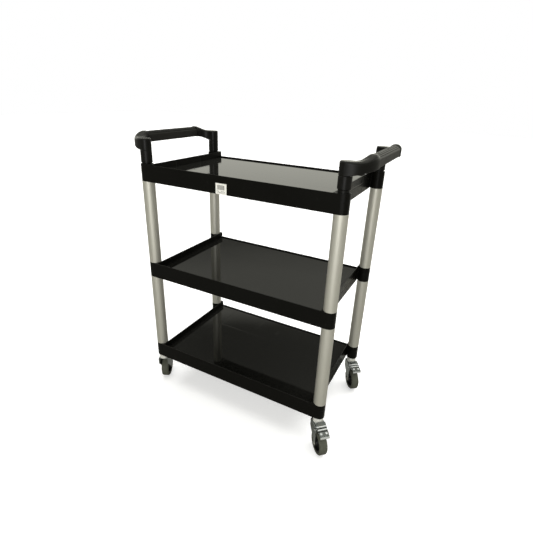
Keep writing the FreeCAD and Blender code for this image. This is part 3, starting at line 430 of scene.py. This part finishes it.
def label_look():
    """White paper with a block of upright bars and two rows of faint dashes under it."""
    look = Look("printed_label")
    low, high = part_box("price_label")
    x, _, z = look.axes(look.place)
    across = look.portion(x, low.x, high.x)
    rise = look.portion(z, low.z, high.z)

    def band(value, low_edge, high_edge):
        above = look.math("GREATER_THAN", value, low_edge)
        return look.math("MULTIPLY", above, look.math("LESS_THAN", value, high_edge))

    bars = look.noise(1.0, 1.0, 0.5, look.join(look.math("MULTIPLY", across, 110.0)))
    bars = look.math("GREATER_THAN", bars, 0.46)
    block = look.math("MULTIPLY", band(across, BARS_LEFT, BARS_RIGHT), band(rise, BARS_BOTTOM, BARS_TOP))
    cells = look.join(look.math("MULTIPLY", across, 26.0), look.math("MULTIPLY", rise, 9.0))
    dashes = look.math("GREATER_THAN", look.noise(1.0, 1.0, 0.5, cells), 0.47)
    upper_row, lower_row = [band(rise, *edges) for edges in DASH_ROWS]
    rows = look.math("MULTIPLY", look.math("MAXIMUM", upper_row, lower_row),
                     band(across, DASHES_LEFT, DASHES_RIGHT))
    ink = look.math("MAXIMUM", look.math("MULTIPLY", bars, block), look.math("MULTIPLY", dashes, rows))
    fibre = look.noise(900.0, 3.0, 0.6)
    colour = look.blend(look.math("MULTIPLY", ink, 0.85), look.blend(fibre, *PAPER), INK)
    return look.finish(colour=colour, rough=0.55, specular=0.4, normal=look.bump(fibre, FINE_RELIEF, 0.3))


# ---------------------------------------------------------------- dressing


def dress_body():
    """The trays, tubes, plugs, handles, grips and label."""
    dress(tray_look(), *TRAYS)
    plug = black_look("plug_plastic", PLUG_BLACK, 0.38, 900.0, specular=0.2)
    handle = black_look("handle_plastic", HANDLE_BLACK, 0.30, 1100.0, specular=0.14,
                        top_specular=1.0, top_coat=0.9)
    tube = tube_look()
    dress(handle, "left_handle", "right_handle")
    dress(grip_look(), "left_grip", "right_grip")
    dress(label_look(), "price_label")
    for corner in CORNERS:
        dress(tube, "upper_tube_" + corner, "lower_tube_" + corner)
        dress(plug, "top_plug_" + corner, "middle_spigot_" + corner, "bottom_plug_" + corner)
        dress(handle, "post_sleeve_" + corner)


def dress_hardware():
    """The casters, their brakes, and the bolts."""
    hub = black_look("hub_plastic", HUB_BLACK, 0.35, 500.0)
    pad = black_look("pad_rubber", PAD_BLACK, 0.7, 700.0, specular=0.3)
    zinc = zinc_look("bright_zinc", FORK_ZINC, 0.10)
    steel = zinc_look("plated_steel", BOLT_STEEL, 0.20)
    # The caster heads get a near-white, mostly diffuse zinc that stands in for their highlight: a painted
    # highlight.
    cap = zinc_look("cap_painted_highlight", CAP_PAINTED_HIGHLIGHT_ZINC, 0.22, metal=0.35)
    dress(steel, "handle_bolts", "swivel_balls")
    for corner in CORNERS:
        dress(cap, "caster_head_" + corner)
        dress(zinc, "caster_fork_" + corner)
        dress(steel, "axle_bolt_" + corner)
        dress(hub, "wheel_hub_" + corner)
        dress(tyre_look(corner), "tyre_" + corner)
    for corner in BRAKED:
        dress(zinc_look("pedal_zinc_" + corner, PEDAL_ZINC, 0.16, corner=corner), "brake_pedal_" + corner)
        dress(steel, "pedal_pin_" + corner)
        dress(pad, "brake_pad_" + corner)


# ---------------------------------------------------------------- stage

FLOOR_HALF = 14.0
FLOOR_GLOW = 0.45
SUN_TOWARDS = (0.12, 0.25, 1.0)
SUN_SPREAD = math.radians(70.0)
SUN_STRENGTH = 2.7
KEY_AT = (0.75, -2.05, 1.05)
KEY_TOWARDS = (0.0, 0.0, 0.65)
KEY_WIDTH, KEY_HEIGHT = 1.5, 2.0
KEY_POWER = 58.0
# The studio that the reflections see: how far up from straight down (0) to straight up (1), and how bright.
STUDIO_BANDS = ((0.0, 0.80), (0.15, 0.80), (0.24, 0.90), (0.29, 0.30), (0.35, 0.12), (0.42, 0.38),
                (0.515, 0.52), (0.54, 0.10), (0.64, 0.18), (1.0, 0.34))
STUDIO_TINT = (1.0, 0.995, 0.88)


def make_floor():
    """A plain floor that the camera sees white and the reflections see grey."""
    mesh = bpy.data.meshes.new("floor")
    near, far = -FLOOR_HALF, FLOOR_HALF
    outline = [(near, near, 0), (far, near, 0), (far, far, 0), (near, far, 0)]
    mesh.from_pydata(outline, [], [(0, 1, 2, 3)])
    floor = bpy.data.objects.new("floor", mesh)
    bpy.context.scene.collection.objects.link(floor)
    look = Look("floor_white")
    seen = look.add("LightPath").outputs["Is Camera Ray"]
    tint = look.blend(seen, FLOOR_GREY, look.blend(look.noise(3.0, 2.0), *FLOOR_WHITE))
    look.put(look.shader.inputs["Emission Color"], WHITE)
    look.put(look.shader.inputs["Emission Strength"], look.math("MULTIPLY", seen, FLOOR_GLOW))
    mesh.materials.append(look.finish(colour=tint, rough=0.9, specular=0.0))


def soften_edges(tree):
    """Fades an area light out towards its edges, so that its reflection has soft ones."""

    def combine(operation, *inputs):
        node = tree.nodes.new("ShaderNodeMath")
        node.operation = operation
        for socket, value in zip(node.inputs, inputs):
            if isinstance(value, bpy.types.NodeSocket):
                tree.links.new(value, socket)
            else:
                socket.default_value = value
        return node.outputs[0]

    geometry = tree.nodes.new("ShaderNodeNewGeometry")
    split = tree.nodes.new("ShaderNodeSeparateXYZ")
    tree.links.new(geometry.outputs["Parametric"], split.inputs[0])
    across, upward = [combine("SINE", combine("MULTIPLY", share, math.pi)) for share in split.outputs[:2]]
    tree.links.new(combine("MULTIPLY", across, upward), tree.nodes["Emission"].inputs["Strength"])


def make_key():
    """A large soft box in front of the trolley."""
    data = bpy.data.lights.new("key", "AREA")
    data.shape = "RECTANGLE"
    data.size = KEY_WIDTH
    data.size_y = KEY_HEIGHT
    data.energy = KEY_POWER
    data.use_nodes = True
    soften_edges(data.node_tree)
    light = bpy.data.objects.new("key", data)
    aim = Vector(KEY_TOWARDS) - Vector(KEY_AT)
    light.matrix_world = Matrix.Translation(KEY_AT) @ aim.to_track_quat("-Z", "Y").to_matrix().to_4x4()
    bpy.context.scene.collection.objects.link(light)


def make_sun():
    """A wide, soft sun that lights the floor evenly and leaves no highlight of its own."""
    data = bpy.data.lights.new("overhead", "SUN")
    data.energy = SUN_STRENGTH
    data.angle = SUN_SPREAD
    light = bpy.data.objects.new("overhead", data)
    light.matrix_world = Vector(SUN_TOWARDS).to_track_quat("Z", "Y").to_matrix().to_4x4()
    light.visible_glossy = False
    bpy.context.scene.collection.objects.link(light)


def make_world():
    """A plain white backdrop for the camera, and a banded grey studio for light and reflections."""
    world = bpy.data.worlds.new("studio")
    bpy.context.scene.world = world
    world.use_nodes = True
    tree = world.node_tree
    coords = tree.nodes.new("ShaderNodeTexCoord")
    split = tree.nodes.new("ShaderNodeSeparateXYZ")
    ramp = tree.nodes.new("ShaderNodeValToRGB")
    tree.links.new(coords.outputs["Generated"], split.inputs[0])
    tree.links.new(split.outputs[2], ramp.inputs[0])
    while len(ramp.color_ramp.elements) < len(STUDIO_BANDS):
        ramp.color_ramp.elements.new(0.5)
    for element, (position, value) in zip(ramp.color_ramp.elements, STUDIO_BANDS):
        element.position = position
        element.color = (*(value * tint for tint in STUDIO_TINT), 1.0)
    seen = tree.nodes.new("ShaderNodeLightPath").outputs["Is Camera Ray"]
    backdrop = tree.nodes.new("ShaderNodeMix")
    backdrop.data_type = "RGBA"
    backdrop.inputs[7].default_value = (*WHITE, 1.0)
    tree.links.new(seen, backdrop.inputs[0])
    tree.links.new(ramp.outputs[0], backdrop.inputs[6])
    tree.links.new(backdrop.outputs[2], tree.nodes["Background"].inputs["Color"])
    tree.nodes["Background"].inputs["Strength"].default_value = 1.0


make_camera()
dress_body()
dress_hardware()
make_floor()
make_world()
make_sun()
make_key()
bpy.context.scene.view_settings.view_transform = "Standard"
